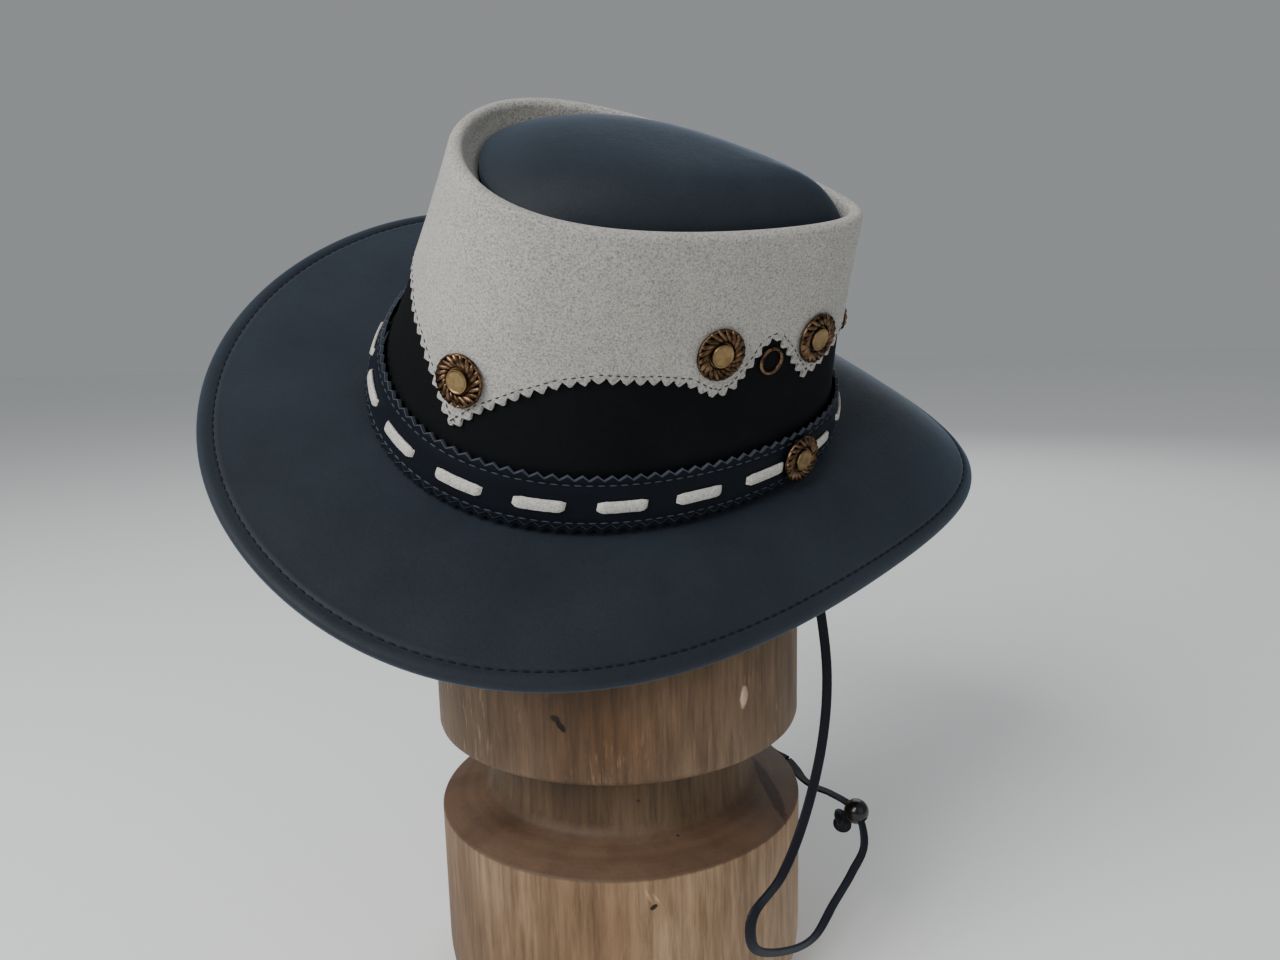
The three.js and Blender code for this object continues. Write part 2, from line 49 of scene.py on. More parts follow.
def addObject(name, data):
    added = bpy.data.objects.new(name, data)
    bpy.context.scene.collection.objects.link(added)
    return added


# Camera: where the photograph was taken from
view = {"place": (0.0123, -0.4302, 0.307), "pitch": 9.73, "roll": -1.35, "lens": 27, "sensor": 36}
cameraData = bpy.data.cameras.new("camera")
cameraData.lens = view["lens"]
cameraData.sensor_width = view["sensor"]
cameraData.clip_start = 0.01
camera = addObject("camera", cameraData)
camera.matrix_world = (Matrix.Translation(view["place"])
                       @ Matrix.Rotation(math.radians(90 - view["pitch"]), 4, "X")
                       @ Matrix.Rotation(math.radians(view["roll"]), 4, "Z"))
bpy.context.scene.camera = camera


# Small helpers for materials
def newMaterial(name):
    material = bpy.data.materials.new(name)
    material.use_nodes = True
    return material, material.node_tree.nodes, material.node_tree.links


def addNode(nodes, kind, **inputs):
    node = nodes.new(kind)
    for key, value in inputs.items():
        node.inputs[key.replace("_", " ")].default_value = value
    return node


def noiseAt(nodes, links, scale, detail=3.0, rough=0.55, stretch=None):
    place = nodes.new("ShaderNodeTexCoord").outputs["Object"]
    if stretch:
        mapping = addNode(nodes, "ShaderNodeMapping", Scale=stretch)
        links.new(place, mapping.inputs["Vector"])
        place = mapping.outputs["Vector"]
    texture = addNode(nodes, "ShaderNodeTexNoise", Scale=scale, Detail=detail, Roughness=rough)
    links.new(place, texture.inputs["Vector"])
    return texture.outputs["Fac"]


def rampOf(nodes, links, source, stops):
    ramp = nodes.new("ShaderNodeValToRGB")
    while len(ramp.color_ramp.elements) < len(stops):
        ramp.color_ramp.elements.new(0.5)
    for element, (place, colour) in zip(ramp.color_ramp.elements, stops):
        element.position = place
        element.color = (*colour, 1.0)
    links.new(source, ramp.inputs["Fac"])
    return ramp.outputs["Color"]


def mixColours(nodes, links, share, first, second, blend="MIX"):
    mix = nodes.new("ShaderNodeMix")
    mix.data_type = "RGBA"
    mix.blend_type = blend
    for socket, value in ((0, share), (6, first), (7, second)):
        if isinstance(value, (float, int)):
            mix.inputs[socket].default_value = value
        elif isinstance(value, tuple):
            mix.inputs[socket].default_value = (*value, 1.0)
        else:
            links.new(value, mix.inputs[socket])
    return mix.outputs[2]


def rangeOf(nodes, links, source, low, high, fromLow=0.0, fromHigh=1.0):
    mapRange = nodes.new("ShaderNodeMapRange")
    mapRange.inputs["From Min"].default_value = fromLow
    mapRange.inputs["From Max"].default_value = fromHigh
    mapRange.inputs["To Min"].default_value = low
    mapRange.inputs["To Max"].default_value = high
    links.new(source, mapRange.inputs["Value"])
    return mapRange.outputs["Result"]


def bumpOf(nodes, links, height, distance, strength, below=None):
    bump = addNode(nodes, "ShaderNodeBump", Strength=strength, Distance=distance)
    links.new(height, bump.inputs["Height"])
    if below is not None:
        links.new(below, bump.inputs["Normal"])
    return bump.outputs["Normal"]


def leatherMaterial(name, dark, light, roughness, sheen, specular, grain=0.25):
    material, nodes, links = newMaterial(name)
    shader = nodes["Principled BSDF"]
    pores = noiseAt(nodes, links, 950, 4)
    patches = noiseAt(nodes, links, 22, 3)
    creases = noiseAt(nodes, links, 160, 5, 0.6)
    tone = rampOf(nodes, links, patches, [(0.3, dark), (0.7, light)])
    speck = rampOf(nodes, links, pores, [(0.35, (0.72, 0.72, 0.72)), (0.62, (1.12, 1.12, 1.12))])
    links.new(mixColours(nodes, links, 0.5, tone, speck, "MULTIPLY"), shader.inputs["Base Color"])
    links.new(rangeOf(nodes, links, creases, roughness - 0.07, roughness + 0.09), shader.inputs["Roughness"])
    coarse = bumpOf(nodes, links, creases, 0.0006, grain)
    links.new(bumpOf(nodes, links, pores, 0.00025, grain * 1.3, coarse), shader.inputs["Normal"])
    shader.inputs["Specular IOR Level"].default_value = specular
    shader.inputs["Sheen Weight"].default_value = sheen
    shader.inputs["Sheen Roughness"].default_value = 0.45
    shader.inputs["Sheen Tint"].default_value = (0.5, 0.72, 1.0, 1.0)
    return material


def suedeMaterial(name, dark, light):
    material, nodes, links = newMaterial(name)
    shader = nodes["Principled BSDF"]
    nap = noiseAt(nodes, links, 1300, 4, 0.7)
    curls = noiseAt(nodes, links, 700, 3, 0.6)
    brushed = noiseAt(nodes, links, 40, 4, 0.6)
    tone = rampOf(nodes, links, nap, [(0.36, dark), (0.52, light), (0.68, tuple(1.2 * c for c in light))])
    curl = rampOf(nodes, links, curls, [(0.36, (0.9, 0.9, 0.9)), (0.6, (1.03, 1.03, 1.03))])
    tone = mixColours(nodes, links, 1.0, tone, curl, "MULTIPLY")
    shade = rampOf(nodes, links, brushed, [(0.3, (0.9, 0.9, 0.9)), (0.7, (1.04, 1.03, 1.02))])
    links.new(mixColours(nodes, links, 1.0, tone, shade, "MULTIPLY"), shader.inputs["Base Color"])
    coarse = bumpOf(nodes, links, brushed, 0.0008, 0.2)
    links.new(bumpOf(nodes, links, nap, 0.0006, 0.75, coarse), shader.inputs["Normal"])
    shader.inputs["Roughness"].default_value = 0.95
    shader.inputs["Specular IOR Level"].default_value = 0.15
    shader.inputs["Sheen Weight"].default_value = 0.3
    shader.inputs["Sheen Roughness"].default_value = 0.6
    return material


def brassMaterial(name, dark, light, roughness, scale):
    material, nodes, links = newMaterial(name)
    shader = nodes["Principled BSDF"]
    tarnish = noiseAt(nodes, links, scale, 5, 0.65)
    fine = noiseAt(nodes, links, 1800, 2)
    links.new(rampOf(nodes, links, tarnish, [(0.36, dark), (0.62, light)]), shader.inputs["Base Color"])
    links.new(rangeOf(nodes, links, tarnish, roughness + 0.15, roughness - 0.08), shader.inputs["Roughness"])
    links.new(bumpOf(nodes, links, fine, 0.0001, 0.25), shader.inputs["Normal"])
    shader.inputs["Metallic"].default_value = 1.0
    return material


def mathOf(nodes, links, operation, first, second):
    node = nodes.new("ShaderNodeMath")
    node.operation = operation
    links.new(first, node.inputs[0])
    links.new(second, node.inputs[1])
    return node.outputs["Value"]


def vectorOf(nodes, links, operation, source, other=None):
    node = nodes.new("ShaderNodeVectorMath")
    node.operation = operation
    links.new(source, node.inputs[0])
    if other is not None:
        node.inputs[1].default_value = other
    return node.outputs["Value" if operation in ("LENGTH", "DOT_PRODUCT") else "Vector"]


def combineOf(nodes, links, **sources):
    node = nodes.new("ShaderNodeCombineXYZ")
    for axis, source in sources.items():
        links.new(source, node.inputs[axis])
    return node.outputs["Vector"]


# A soft spot or streak between two places in the part's own millimetres
def markAt(nodes, links, start, end, width, edge):
    start, end = Vector(start) * mm, Vector(end) * mm
    along = (end - start).normalized()
    place = nodes.new("ShaderNodeTexCoord").outputs["Object"]
    away = vectorOf(nodes, links, "SUBTRACT", place, (start + end) / 2)
    lengthwise = vectorOf(nodes, links, "DOT_PRODUCT", away, along / ((end - start).length / 2))
    crosswise = vectorOf(nodes, links, "CROSS_PRODUCT", away, along / (width / 2 * mm))
    reach = vectorOf(nodes, links, "LENGTH", crosswise)
    total = vectorOf(nodes, links, "LENGTH", combineOf(nodes, links, X=lengthwise, Y=reach))
    frayed = rangeOf(nodes, links, noiseAt(nodes, links, 420, 3), -0.35, 0.35)
    ragged = mathOf(nodes, links, "ADD", total, frayed)
    return rangeOf(nodes, links, ragged, 1.0, 0.0, 1 - edge, 1 + edge)


# Places in millimetres: a warm patch, a chip, a crack, knots, scratches, the chin lace's painted shadow on
# the cone, painted shade on the cone's left and small pits
woodMarks = [
    {"start": (-35, -83, 150), "end": (32, -83, 147), "width": 44, "edge": 0.8,
     "tint": (0.78, 0.63, 0.47)},
    {"start": (52.5, -64.2, 159.2), "end": (51.6, -65, 150.6), "width": 3.9, "edge": 0.2,
     "tint": (3.6, 4.2, 5.0)},
    {"start": (-24.6, -79.5, 155), "end": (-20.6, -80.3, 153), "width": 2.6, "edge": 0.3,
     "tint": (0.16, 0.13, 0.12)},
    {"start": (-22, -80, 153), "end": (-19, -80.8, 149), "width": 2.4, "edge": 0.15,
     "tint": (0.07, 0.05, 0.04)},
    {"start": (13.3, -82.9, 76), "end": (14.4, -82.7, 74.2), "width": 3.3, "edge": 0.15,
     "tint": (0.08, 0.06, 0.05)},
    {"start": (10.8, -83.2, 82.4), "end": (12.9, -83, 77.4), "width": 1.2, "edge": 0.4,
     "tint": (1.6, 1.65, 1.7)},
    {"start": (13.6, -82.9, 80.6), "end": (16.4, -82.4, 76.4), "width": 1.0, "edge": 0.4,
     "tint": (1.55, 1.6, 1.6)},
    # Painted shadow of the chin lace across the cone's right side
    {"start": (64.2, 5, 93.8), "end": (72.4, -40.5, 88), "width": 7.2, "edge": 0.12,
     "tint": (0.34, 0.17, 0.1)},
    # Painted shade on the cone's left, under the upper drum
    {"start": (-56, -40, 92), "end": (-34, -55, 94), "width": 11, "edge": 0.9,
     "tint": (0.5, 0.44, 0.4)},
    {"start": (-2.4, -62.7, 94.6), "end": (-0.9, -62.7, 94.2), "width": 1.1, "edge": 0.4,
     "tint": (0.35, 0.3, 0.3)},
    {"start": (24, -61.4, 93.6), "end": (25.2, -61.4, 93), "width": 1.1, "edge": 0.4,
     "tint": (0.35, 0.3, 0.3)},
    {"start": (7.6, -60.7, 109), "end": (9.4, -60.7, 108.4), "width": 1.4, "edge": 0.4,
     "tint": (0.35, 0.3, 0.28)},
]


# Heights in metres where the wood's tone changes: under the upper drum, where the neck takes painted shade;
# at the lower drum's top, below which the wood is made lighter, so that the upper drum's darker tone is
# painted shade from the brim; on the cone. The across ramp paints light and shade, darker on the left and
# lighter on the right
wood = {
    "base": [(0.32, (0.086, 0.053, 0.029)), (0.5, (0.122, 0.079, 0.047)), (0.68, (0.162, 0.113, 0.075))],
    "across": [(0.1, (0.86, 0.86, 0.88)), (0.5, (1.0, 0.97, 0.93)), (0.9, (1.55, 1.58, 1.62))],
    "cone": [(0.3, (0.092, 0.052, 0.03)), (0.7, (0.118, 0.07, 0.042))],
    "scratch": (0.36, 0.27, 0.19), "neckShadeTint": (0.7, 0.68, 0.62), "lowerLitTint": (2.37, 2.38, 2.47),
    "scratchRise": (0.1, 0.125), "neckShadeEnd": (0.116, 0.124), "lowerLitEnd": (0.0862, 0.0872),
    "coneStart": (0.0864, 0.0874), "coneEnd": (0.0925, 0.099), "halfWidth": 0.09,
}


def woodMaterial(name):
    material, nodes, links = newMaterial(name)
    shader = nodes["Principled BSDF"]
    blotches = noiseAt(nodes, links, 17, 4, 0.6, (1.0, 1.0, 0.5))
    bands = noiseAt(nodes, links, 60, 4, 0.6, (1.0, 1.0, 0.13))
    streaks = noiseAt(nodes, links, 340, 5, 0.7, (1.0, 1.0, 0.07))
    scratches = noiseAt(nodes, links, 560, 3, 0.6, (1.0, 1.0, 0.14))
    scratched = noiseAt(nodes, links, 24, 3)
    split = nodes.new("ShaderNodeSeparateXYZ")
    links.new(nodes.new("ShaderNodeTexCoord").outputs["Object"], split.inputs["Vector"])
    height = split.outputs["Z"]

    base = rampOf(nodes, links, blotches, wood["base"])
    banded = rampOf(nodes, links, bands, [(0.32, (0.84, 0.82, 0.8)), (0.6, (1.1, 1.1, 1.1))])
    tone = mixColours(nodes, links, 1.0, base, banded, "MULTIPLY")
    grain = rampOf(nodes, links, streaks, [(0.34, (0.62, 0.58, 0.54)), (0.6, (1.14, 1.14, 1.13))])
    tone = mixColours(nodes, links, 1.0, tone, grain, "MULTIPLY")
    bright = mathOf(nodes, links, "MULTIPLY", rangeOf(nodes, links, scratches, 0.0, 0.5, 0.56, 0.66),
                    rangeOf(nodes, links, scratched, 0.0, 1.0, 0.46, 0.6))
    upper = rangeOf(nodes, links, height, 0.1, 1.0, *wood["scratchRise"])
    tone = mixColours(nodes, links, mathOf(nodes, links, "MULTIPLY", bright, upper), tone, wood["scratch"])
    # Painted light and shade: the wood is darker on the left and lighter on the right, as the light falls
    across = rangeOf(nodes, links, split.outputs["X"], 0.0, 1.0, -wood["halfWidth"], wood["halfWidth"])
    tone = mixColours(nodes, links, 1.0, tone, rampOf(nodes, links, across, wood["across"]), "MULTIPLY")
    # Painted shade: the neck under the upper drum's overhang is darkened
    neck = rangeOf(nodes, links, height, 1.0, 0.0, *wood["neckShadeEnd"])
    tone = mixColours(nodes, links, neck, tone, wood["neckShadeTint"], "MULTIPLY")
    # Painted light and shade: the lower drum is made lighter than the upper drum, whose darker tone stands
    # for the brim's shade; this also lifts the neck's painted shade off the lower drum
    lower = rangeOf(nodes, links, height, 1.0, 0.0, *wood["lowerLitEnd"])
    tone = mixColours(nodes, links, lower, tone, wood["lowerLitTint"], "MULTIPLY")

    # The cone above the lower drum: faint rings round the axis, in a dark tone that is partly end-grain stain
    # and partly painted shade under the upper drum
    outward = vectorOf(nodes, links, "LENGTH",
                       combineOf(nodes, links, X=split.outputs["X"], Y=split.outputs["Y"]))
    rings = addNode(nodes, "ShaderNodeTexNoise", Scale=260, Detail=3.0)
    links.new(combineOf(nodes, links, X=outward), rings.inputs["Vector"])
    turned = rampOf(nodes, links, rings.outputs["Fac"], wood["cone"])
    turned = mixColours(nodes, links, 1.0, turned, banded, "MULTIPLY")
    cone = mathOf(nodes, links, "MULTIPLY", rangeOf(nodes, links, height, 0.0, 1.0, *wood["coneStart"]),
                  rangeOf(nodes, links, height, 1.0, 0.0, *wood["coneEnd"]))
    tone = mixColours(nodes, links, cone, tone, turned)
    for mark in woodMarks:
        shape = markAt(nodes, links, mark["start"], mark["end"], mark["width"], mark["edge"])
        tone = mixColours(nodes, links, shape, tone, mark["tint"], "MULTIPLY")

    links.new(tone, shader.inputs["Base Color"])
    links.new(rangeOf(nodes, links, streaks, 0.5, 0.72), shader.inputs["Roughness"])
    coarse = bumpOf(nodes, links, streaks, 0.0005, 0.4)
    links.new(bumpOf(nodes, links, scratches, 0.0003, 0.4, coarse), shader.inputs["Normal"])
    shader.inputs["Specular IOR Level"].default_value = 0.3
    return material


# Name, dark and light colour, roughness, sheen and specular share of each leather
blackLeather = leatherMaterial("black nubuck", (0.0085, 0.0118, 0.0172), (0.0145, 0.0192, 0.0265),
                               0.6, 0.25, 0.24)
bandLeather = leatherMaterial("band leather", (0.0026, 0.0036, 0.0062), (0.0046, 0.0062, 0.0098),
                              0.6, 0.05, 0.1)
wallLeather = leatherMaterial("crown wall leather", (0.0034, 0.0038, 0.0044), (0.0056, 0.006, 0.0068),
                              0.75, 0.0, 0.08)
# A lighter leather for the band's cut edges and stitches; its bluish lightness is partly a painted highlight
# where the edges catch the light
cutEdgeHighlight = leatherMaterial("cut leather edge with painted highlight", (0.03, 0.034, 0.046), (0.055, 0.06, 0.078), 0.6, 0.2, 0.2)
paleSuede = suedeMaterial("pale suede", (0.205, 0.197, 0.178), (0.415, 0.402, 0.368))
laceSuede = suedeMaterial("lace suede", (0.36, 0.345, 0.31), (0.6, 0.58, 0.535))
agedBrass = brassMaterial("aged brass", (0.02, 0.012, 0.007), (0.2, 0.122, 0.068), 0.32, 330)
discBrass = brassMaterial("worn brass disc", (0.19, 0.125, 0.055), (0.29, 0.2, 0.095), 0.36, 240)
turnedWood = woodMaterial("turned wood")
blackLace = leatherMaterial("black lace", (0.0045, 0.005, 0.009), (0.009, 0.0098, 0.0165), 0.55, 0.08, 0.2)
blackThread = leatherMaterial("black thread", (0.004, 0.004, 0.005), (0.008, 0.008, 0.009), 0.6, 0.05, 0.2)
darkThread = leatherMaterial("dark thread", (0.02, 0.018, 0.016), (0.045, 0.04, 0.035), 0.7, 0.05, 0.2)
blackBead = leatherMaterial("black bead", (0.003, 0.003, 0.004), (0.006, 0.006, 0.007), 0.2, 0.0, 0.5, 0.05)
print("materials made")

# The hat's place on the stand, and the crown's own shape, as in the part's source
hatPose = {"right": -2, "back": 12, "lift": 272, "leanToSide": 36.4, "dipToFront": 9.3}
hatMatrix = (Matrix.Scale(mm, 4)
             @ Matrix.Translation((hatPose["right"], hatPose["back"], hatPose["lift"]))
             @ Matrix.Rotation(math.radians(hatPose["leanToSide"]), 4, "X")
             @ Matrix.Rotation(math.radians(hatPose["dipToFront"]), 4, "Y"))
crown = {
    "baseLength": 105, "baseWidth": 84.5, "baseEgg": 0.21,
    "topLength": 79.1, "topWidth": 43, "topEgg": 0.503, "topBlunt": 0.025,
    "topForward": 8, "height": 109.1, "topSlope": -0.055, "hollow": 1.8, "leather": 2,
}


def lerp(low, high, share):
    return low + (high - low) * share


def smoothStep(low, high, value):
    share = min(1.0, max(0.0, (value - low) / (high - low)))
    return share * share * (3 - 2 * share)


def eggRing(turn, centre, length, width, egg, bluntness=0.0):
    blunt = bluntness * (1 + math.cos(turn)) / 2
    x = centre + length * ((1 + blunt) * math.cos(turn) - blunt * math.cos(3 * turn))
    return Vector((x, -width * math.sin(turn) * (1 - egg * math.cos(turn)), 0))


def crownPoint(turn, share):
    c = crown
    hollow = 4 * share * (1 - share) * c["hollow"]
    point = eggRing(turn, c["topForward"] * share,
                    lerp(c["baseLength"], c["topLength"], share) - hollow,
                    lerp(c["baseWidth"], c["topWidth"], share) - hollow,
                    lerp(c["baseEgg"], c["topEgg"], share), c["topBlunt"] * share)
    point.z = share * (c["height"] + c["topSlope"] * point.x)
    return point


def crownNormal(turn, share):
    around = crownPoint(turn + 0.01, share) - crownPoint(turn - 0.01, share)
    upward = crownPoint(turn, min(share + 0.01, 1)) - crownPoint(turn, max(share - 0.01, 0))
    return upward.cross(around).normalized()


def offCrown(turn, share, offset):
    return crownPoint(turn, share) + crownNormal(turn, share) * offset


def rimPoint(turn, inward, rise):
    along = crownPoint(turn + 0.01, 1) - crownPoint(turn - 0.01, 1)
    outward = Vector((-along.y, along.x, 0)).normalized()
    return crownPoint(turn, 1) - outward * inward + Vector((0, 0, rise))


def wallSeat(degrees, share, offset):
    turn = math.radians(degrees)
    normal = crownNormal(turn, share)
    upward = (Vector((0, 0, 1)) - normal * normal.z).normalized()
    along = upward.cross(normal)
    seat = Matrix((along, upward, normal)).transposed().to_4x4()
    seat.translation = crownPoint(turn, share) + normal * offset
    return seat


def ringSteps(count):
    return [2 * math.pi * i / count for i in range(count)]


def growRow(mesh, edges):
    grown = bmesh.ops.extrude_edge_only(mesh, edges=edges)["geom"]
    fresh = {item for item in grown if isinstance(item, bmesh.types.BMVert)}
    ahead = [item for item in grown
             if isinstance(item, bmesh.types.BMEdge) and all(vert in fresh for vert in item.verts)]
    return fresh, ahead, [item for item in grown if isinstance(item, bmesh.types.BMFace)]


# A loop of edges is extruded row by row, and each new row is put where placeAt says. The faces that lead
# to a row of cutRows take the piece's second material
def sweepRing(turns, rows, placeAt, cutRows=()):
    mesh = bmesh.new()
    stepLayer = mesh.verts.layers.int.new("step")
    row = [mesh.verts.new(placeAt(i, rows[0])) for i in range(len(turns))]
    for i, vert in enumerate(row):
        vert[stepLayer] = i
    edges = [mesh.edges.new((row[i], row[(i + 1) % len(row)])) for i in range(len(row))]
    for count, spec in enumerate(rows[1:] + rows[:1]):
        fresh, edges, faces = growRow(mesh, edges)
        for face in faces:
            face.material_index = 1 if count + 1 in cutRows else 0
        for vert in fresh:
            vert.co = placeAt(vert[stepLayer], spec)
    bmesh.ops.remove_doubles(mesh, verts=mesh.verts, dist=0.0005)
    return mesh


def finishPiece(mesh, name, materials, matrix=hatMatrix, replaced=(), sharpAngle=40):
    bmesh.ops.transform(mesh, matrix=matrix, verts=mesh.verts)
    bmesh.ops.recalc_face_normals(mesh, faces=mesh.faces)
    data = bpy.data.meshes.new(name)
    mesh.to_mesh(data)
    mesh.free()
    data.shade_smooth()
    data.set_sharp_from_angle(angle=math.radians(sharpAngle))
    for material in materials:
        data.materials.append(material)
    piece = addObject(name, data)
    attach(piece, "root")
    if replaced:
        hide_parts(*replaced)
    return piece


# Short thread stitches along a line of (point, direction, outward) seats
def stitchLine(seats, length, width):
    mesh = bmesh.new()
    for place, along, outward in seats:
        along = along.normalized()
        side = outward.cross(along).normalized()
        turned = Matrix((along, side, side.cross(along) * -1)).transposed().to_4x4()
        turned.translation = place
        shape = turned @ Matrix.Diagonal((length / 2, width / 2, width / 2, 1))
        bmesh.ops.create_uvsphere(mesh, u_segments=8, v_segments=5, radius=1,
                                  matrix=shape @ Matrix.Rotation(math.pi / 2, 4, "Y"))
    return mesh


# Turns at an even pitch along the closed line that pointAt gives
def evenly(pointAt, pitch, count=1440):
    points = [pointAt(2 * math.pi * i / count) for i in range(count + 1)]
    runs = [0.0]
    for i in range(count):
        runs.append(runs[-1] + (points[i + 1] - points[i]).length)
    total = max(1, round(runs[-1] / pitch))
    turns, i = [], 0
    for k in range(total):
        wanted = runs[-1] * k / total
        while runs[i + 1] < wanted:
            i += 1
        turns.append(2 * math.pi * (i + (wanted - runs[i]) / (runs[i + 1] - runs[i])) / count)
    return turns


# Chin lace: flat leather lace along the same route as in the part's source
lace = {
    "width": 4.3, "thickness": 1.3, "stepLength": 2.5, "beadStop": 13, "samples": 60,
    "route": [
        (84, -18, 226), (89, -20, 190), (93, -26, 150), (89, -38, 123), (78, -56, 96), (66, -73, 81),
        (52, -90, 74), (52.5, -89.5, 61.5), (66, -76, 49.2), (82, -59, 43.3), (93, -46, 50), (104, -33, 57),
        (111.4, -24, 65), (109.6, -15, 76.6), (99.1, -6, 81.2), (92.9, -1, 81.8), (88.2, 5, 83),
        (86.3, 14.5, 83.3), (83.6, 26, 83), (78.5, 39, 81.5), (72.5, 50, 85), (70, 57, 97), (68, 61, 114),
        (69, 62, 150), (73, 61, 200), (80, 60, 250), (83, 60, 283)],
    "beadRadius": 5.8, "beadBore": 2.5, "knotBeside": (-5, 5.2, -7.2), "knotRadius": 3.5, "knotCord": 2.2,
}


# Centripetal curve through the points, as in the part's source
def curvePoint(points, at):
    last = len(points) - 1
    i = min(int(at), last - 1)
    share = at - i
    middle = [points[i], points[i + 1]]
    before = points[i - 1] if i > 0 else middle[0] * 2 - middle[1]
    after = points[i + 2] if i + 2 <= last else middle[1] * 2 - middle[0]
    p = [before, *middle, after]
    t = [0.0]
    for k in range(3):
        t.append(t[-1] + max((p[k + 1] - p[k]).length, 1e-6) ** 0.5)
    now = lerp(t[1], t[2], share)
    a = [p[k] * ((t[k + 1] - now) / (t[k + 1] - t[k])) + p[k + 1] * ((now - t[k]) / (t[k + 1] - t[k]))
         for k in range(3)]
    b = [a[k] * ((t[k + 2] - now) / (t[k + 2] - t[k])) + a[k + 1] * ((now - t[k]) / (t[k + 2] - t[k]))
         for k in range(2)]
    return b[0] * ((t[2] - now) / (t[2] - t[1])) + b[1] * ((now - t[1]) / (t[2] - t[1]))


def flatSection(width, thickness, rounding=0.35):
    w, h = width / 2, thickness / 2
    r = rounding * thickness
    return [(-w, -h + r), (-w + r, -h), (0, -h), (w - r, -h), (w, -h + r),
            (w, h - r), (w - r, h), (0, h), (-w + r, h), (-w, h - r)]


# A section swept along points, its width along the side given for each of them
def sweepPath(points, sides, section, closed=False):
    mesh = bmesh.new()
    count = len(points)

    def corners(i):
        ahead = points[(i + 1) % count] if closed or i + 1 < count else points[i]
        behind = points[i - 1] if closed or i > 0 else points[i]
        tangent = (ahead - behind).normalized()
        side = (sides[i] - tangent * sides[i].dot(tangent)).normalized()
        lift = tangent.cross(side)
        return [points[i] + side * u + lift * v for u, v in section]

    layer = mesh.verts.layers.int.new("corner")
    ring = [mesh.verts.new(place) for place in corners(0)]
    for k, vert in enumerate(ring):
        vert[layer] = k
    edges = [mesh.edges.new((ring[k], ring[(k + 1) % len(ring)])) for k in range(len(ring))]
    ends = [list(edges)]
    for i in list(range(1, count)) + ([0] if closed else []):
        places = corners(i)
        fresh, edges, _ = growRow(mesh, edges)
        for vert in fresh:
            vert.co = places[vert[layer]]
    if closed:
        bmesh.ops.remove_doubles(mesh, verts=mesh.verts, dist=0.0005)
    else:
        ends.append(edges)
        for loop in ends:
            bmesh.ops.contextual_create(mesh, geom=loop)
    return mesh


partMatrix = Matrix.Scale(mm, 4)
route = [Vector(point) for point in lace["route"]]
fine = [curvePoint(route, i / lace["samples"]) for i in range(lace["samples"] * (len(route) - 1) + 1)]
runs = [0.0]
for i in range(1, len(fine)):
    runs.append(runs[-1] + (fine[i] - fine[i - 1]).length)
laceSteps = round(runs[-1] / lace["stepLength"])
lacePoints, k = [], 0
for i in range(laceSteps + 1):
    wanted = runs[-1] * i / laceSteps
    while k < len(fine) - 2 and runs[k + 1] < wanted:
        k += 1
    lacePoints.append(fine[k].lerp(fine[k + 1], (wanted - runs[k]) / (runs[k + 1] - runs[k])))
beadShare = runs[lace["samples"] * lace["beadStop"]] / runs[-1]

# Which way the lace's width lies: across the view at first, and edge on from the bead onwards
laceSides = []
for i in range(laceSteps + 1):
    tangent = (lacePoints[min(i + 1, laceSteps)] - lacePoints[max(i - 1, 0)]).normalized()
    facing = tangent.cross(Vector((0.0, 1.0, 0.0)))
    edgeOn = Vector((0.25, 1, 0.1))
    edgeOn = (edgeOn - tangent * edgeOn.dot(tangent)).normalized()
    if laceSides and facing.dot(laceSides[-1]) < 0:
        facing = -facing
    if edgeOn.dot(facing if facing.length > 0.3 or not laceSides else laceSides[-1]) < 0:
        edgeOn = -edgeOn
    turned = smoothStep(beadShare - 0.05, beadShare + 0.03, i / laceSteps)
    laceSides.append(facing.lerp(edgeOn, turned).normalized())

chinLace = finishPiece(sweepPath(lacePoints, laceSides, flatSection(lace["width"], lace["thickness"])),
                       "chin_lace", [blackLace], partMatrix, ["chin_cord"])
beadMiddle = curvePoint(route, lace["beadStop"])
beadAxis = curvePoint(route, lace["beadStop"] + 0.02) - curvePoint(route, lace["beadStop"] - 0.02)


# A profile of (radius, height) points, spun a full turn
def spinProfile(profile, steps, closed=False):
    mesh = bmesh.new()
    verts = [mesh.verts.new((radius, 0, height)) for radius, height in profile]
    ends = list(zip(verts, verts[1:])) + ([(verts[-1], verts[0])] if closed else [])
    edges = [mesh.edges.new(pair) for pair in ends]
    bmesh.ops.spin(mesh, geom=verts + edges, cent=(0, 0, 0), axis=(0, 0, 1), angle=2 * math.pi,
                   steps=steps, use_merge=True)
    bmesh.ops.remove_doubles(mesh, verts=mesh.verts, dist=0.0005)
    return mesh


# The matrix that turns the upright axis to point along a direction, at a place
def pointedAt(place, direction):
    turned = Vector((0, 0, 1)).rotation_difference(direction.normalized())
    return Matrix.Translation(place) @ turned.to_matrix().to_4x4()


ball, bore = lace["beadRadius"], lace["beadBore"]
boreEnd = math.sqrt(ball * ball - bore * bore)
boreAngle = math.atan2(boreEnd, bore)
profile = [(ball * math.cos(angle), ball * math.sin(angle))
           for angle in (boreAngle * (k / 7 - 1) for k in range(15))]
profile += [(bore - 0.3, boreEnd - 0.6), (bore - 0.35, 0), (bore - 0.3, -boreEnd + 0.6)]
beadMatrix = pointedAt(beadMiddle, beadAxis)
bead = finishPiece(spinProfile(profile, 32, True), "lace_bead", [blackBead],
                   partMatrix @ beadMatrix, ["cord_bead"])
knotPoints = []
for i in range(72):
    t = 2 * math.pi * i / 72
    knotPoints.append(Vector((math.sin(t) + 2 * math.sin(2 * t), math.cos(t) - 2 * math.cos(2 * t),
                              -1.3 * math.sin(3 * t))) * (lace["knotRadius"] / 3))
knotSection = flatSection(2 * lace["knotCord"], 1.5 * lace["knotCord"])
